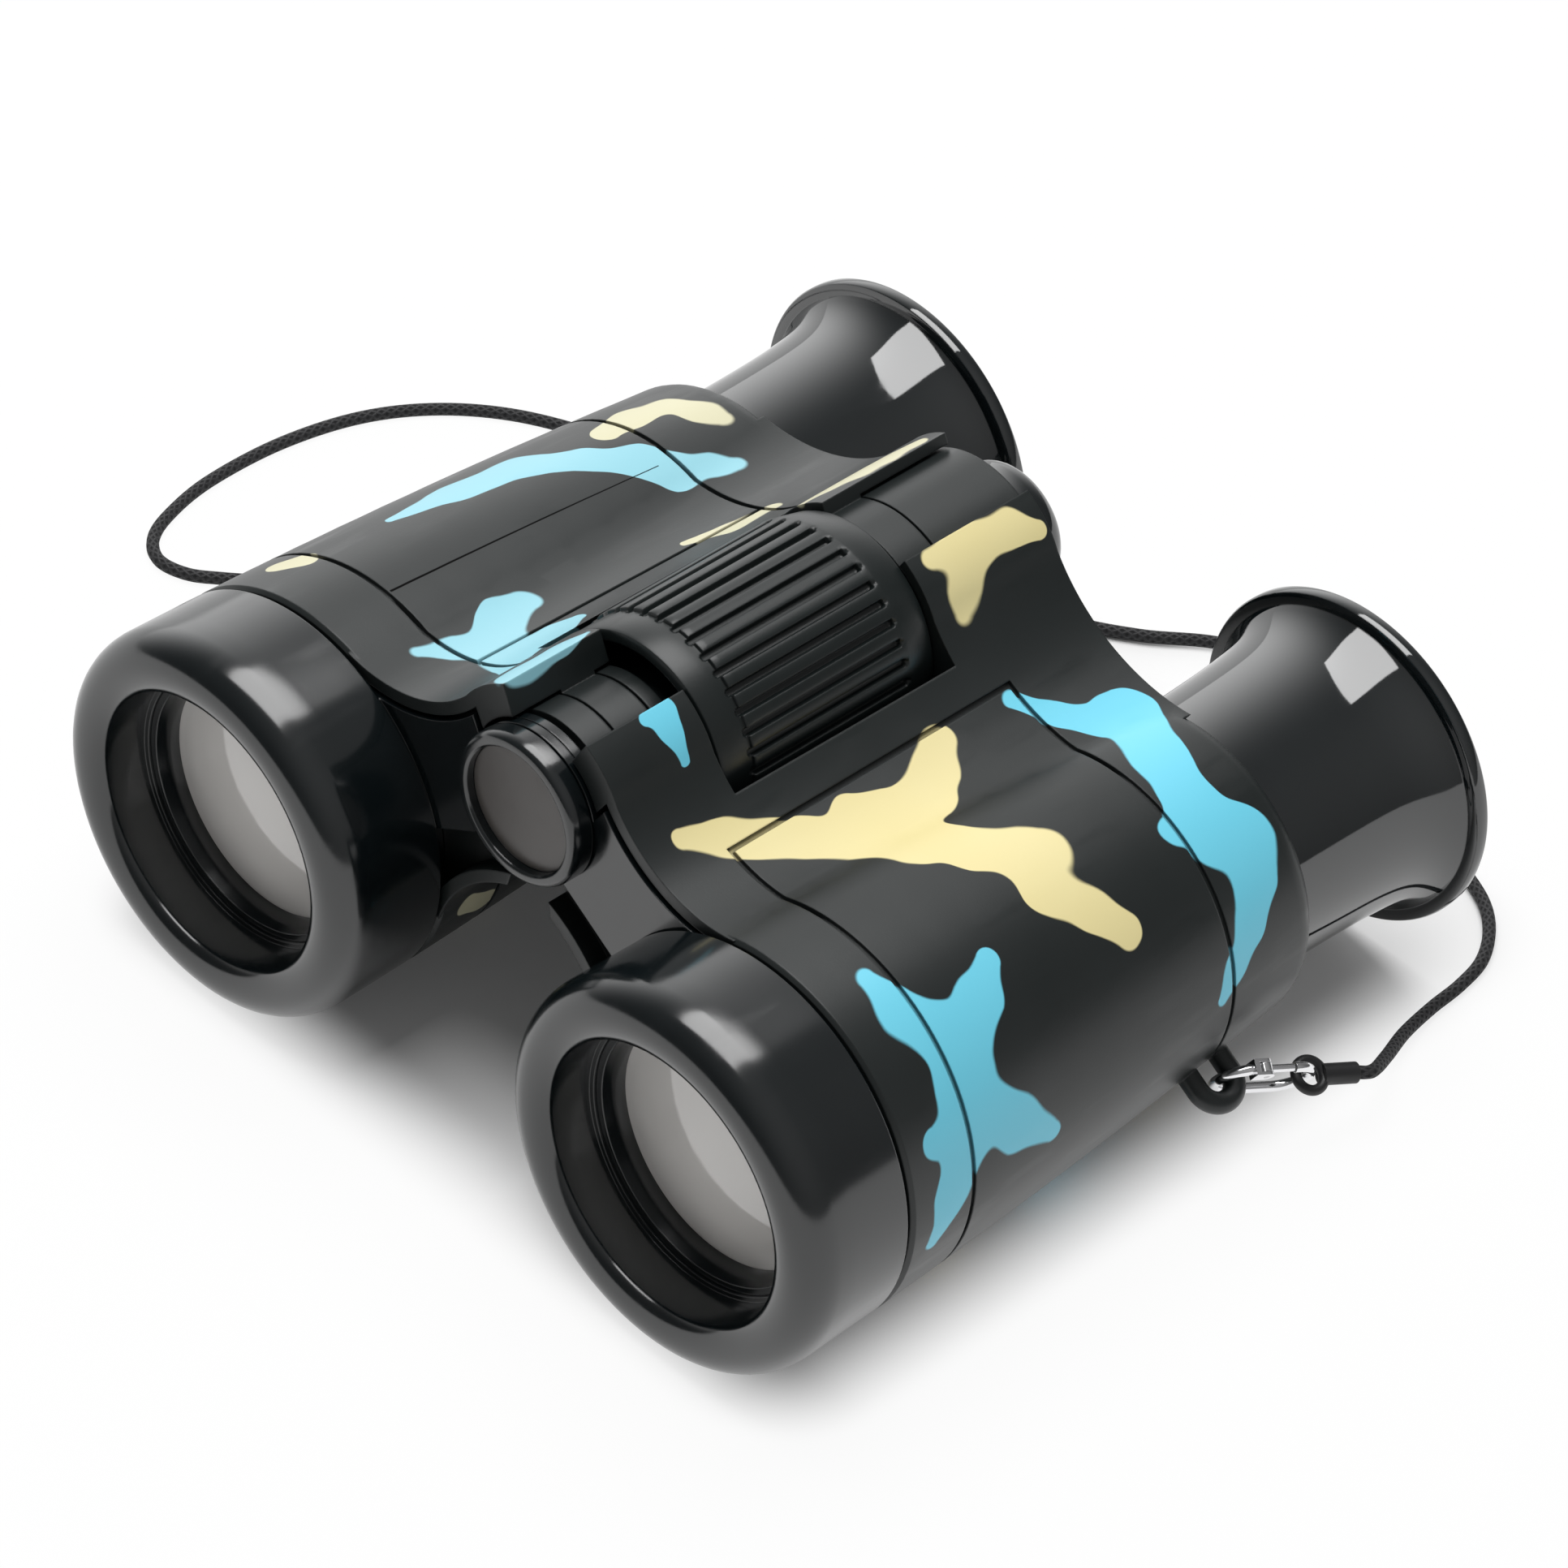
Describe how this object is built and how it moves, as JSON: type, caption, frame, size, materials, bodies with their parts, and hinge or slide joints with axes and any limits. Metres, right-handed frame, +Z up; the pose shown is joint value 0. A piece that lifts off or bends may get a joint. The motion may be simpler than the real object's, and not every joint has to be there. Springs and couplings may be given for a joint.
{
  "type": "toy binoculars",
  "caption": "Folding toy binoculars with camouflage bodies, a ribbed centre focus wheel that slides the objective tubes, and a thin neck cord clipped to strap lugs.",
  "frame": {"origin": "middle of the binoculars' footprint, on the floor they rest on", "axes": "+Z up, -Y towards the objective lenses, +Y towards the eyepieces, +X to the right barrel as seen from the front with the eyepieces away from the viewer"},
  "size_m": [0.1474, 0.1244, 0.0525],
  "materials": {
    "camo_plastic": "satin",
    "gloss_black": "gloss",
    "wheel_black": "satin",
    "lens": "gloss",
    "cap_grey": "satin",
    "steel": "satin",
    "clip_metal": "polished",
    "crimp_black": "matte",
    "cord": "braided"
  },
  "bodies": {
    "right_half": {"right_body": "camo_plastic", "right_eyepiece": "gloss_black", "right_eye_lens": "lens", "right_eye_ring": "gloss_black", "hinge_sleeve": "steel", "hinge_pin": "steel", "rear_cap": "gloss_black", "right_clip": "clip_metal", "right_gate_pin": "clip_metal", "right_cord_end": "crimp_black", "neck_cord": "cord"},
    "left_half": {"left_body": "camo_plastic", "left_eyepiece": "gloss_black", "left_eye_lens": "lens", "left_eye_ring": "gloss_black", "left_clip": "clip_metal", "left_gate_pin": "clip_metal", "left_cord_end": "crimp_black"},
    "wheel": {"focus_wheel": "wheel_black"},
    "right_focus": {"right_objective_tube": "gloss_black", "right_objective_lens": "lens", "right_objective_ring": "gloss_black", "focus_screw": "steel", "front_cap": "gloss_black", "cap_disc": "cap_grey"},
    "left_focus": {"left_objective_tube": "gloss_black", "left_objective_lens": "lens", "left_objective_ring": "gloss_black"},
    "right_gate": {"right_clip_gate": "clip_metal"},
    "left_gate": {"left_clip_gate": "clip_metal"}
  },
  "joints": [
    {"name": "fold", "type": "hinge", "parent": "right_half", "child": "left_half", "pos_m": [0, 0, 0.0402], "axis": [0, 1, 0], "range_deg": [-16, 30], "deforming": ["neck_cord"]},
    {"name": "focus_turn", "type": "hinge", "parent": "right_half", "child": "wheel", "pos_m": [0, 0, 0.0402], "axis": [0, 1, 0], "range_deg": [0, 330]},
    {"name": "right_focus_slide", "type": "slide", "parent": "right_half", "child": "right_focus", "axis": [0, -1, 0], "range_m": [0, 0.005]},
    {"name": "left_focus_slide", "type": "slide", "parent": "left_half", "child": "left_focus", "axis": [0, -1, 0], "range_m": [0, 0.005]},
    {"name": "right_gate_swing", "type": "hinge", "parent": "right_half", "child": "right_gate", "pos_m": [0.05212, 0.0157, 0.01188], "axis": [-0.7754, 0.4226, 0.4691], "range_deg": [0, 28], "stiffness_Nm_per_rad": 0.002, "springref_deg": -11.46},
    {"name": "left_gate_swing", "type": "hinge", "parent": "left_half", "child": "left_gate", "pos_m": [-0.05412, 0.01069, 0.01067], "axis": [0.2214, -0.9659, 0.134], "range_deg": [0, 28], "stiffness_Nm_per_rad": 0.002, "springref_deg": -11.46}
  ],
  "couplings": [
    {"joint": "focus_turn", "follows": "right_focus_slide", "rad_per_m": 1142.4},
    {"joint": "left_focus_slide", "follows": "right_focus_slide", "ratio": 1}
  ]
}
